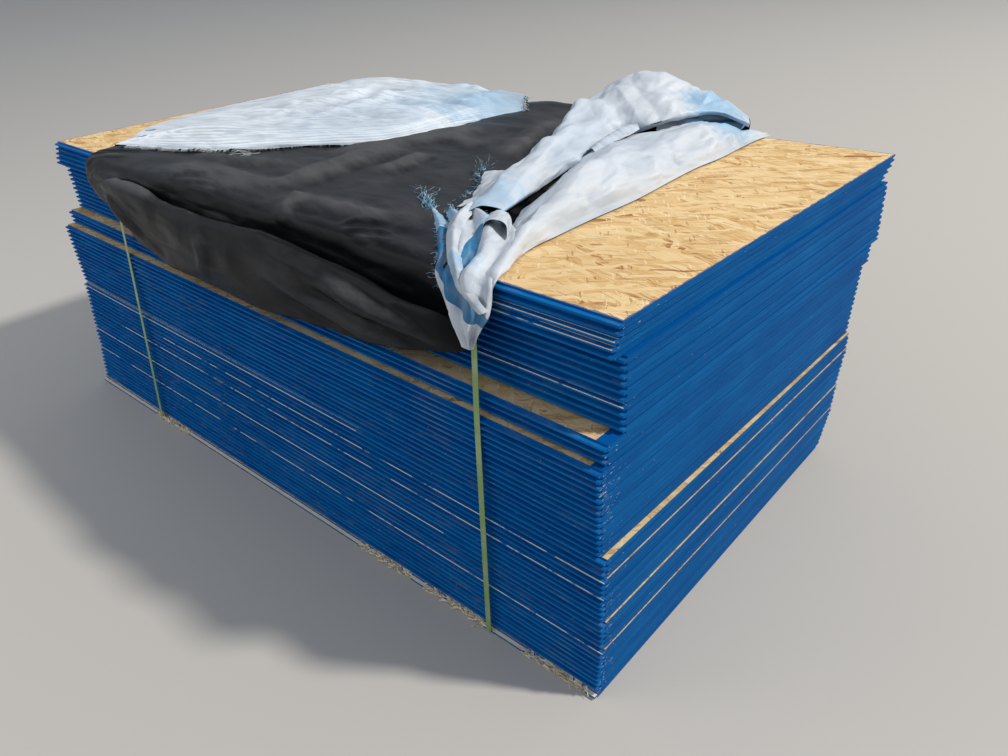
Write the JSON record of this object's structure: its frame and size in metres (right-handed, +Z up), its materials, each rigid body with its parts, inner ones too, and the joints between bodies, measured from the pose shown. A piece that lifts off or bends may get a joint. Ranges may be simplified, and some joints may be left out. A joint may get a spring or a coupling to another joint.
{
  "type": "stack of osb panels",
  "caption": "Strapped stack of tongue-and-groove strand board panels with blue sealed edges and a torn woven cover folded over its top.",
  "frame": {"origin": "middle of the whole stack's outline, on the ground under the bottom panel", "axes": "+X along the panels toward the end with the bunched cover, +Y across them from the tongues toward the grooves, +Z up"},
  "size_m": [2.5009, 1.338, 1.1134],
  "materials": {
    "strand_board": "matt strand surface, edges sealed with blue paint",
    "strap_green": "satin polyester strapping",
    "cover_black": "dusty woven polyethylene",
    "cover_white": "woven polyethylene, faintly blue"
  },
  "bodies": {
    "root": {"panel_bottom": "strand_board", "panels_course_1": "strand_board", "panels_course_2": "strand_board", "panels_course_3": "strand_board", "panels_course_4": "strand_board", "panels_course_5": "strand_board", "panels_course_6": "strand_board", "panels_course_7": "strand_board", "panels_course_8": "strand_board", "panels_course_9": "strand_board", "strap_rear": "strap_green", "strap_front": "strap_green", "cover_lining": "cover_black", "cover_flap": "cover_white", "cover_bunched_end": "cover_white", "cover_trailing_end": "cover_white"}
  },
  "joints": []
}
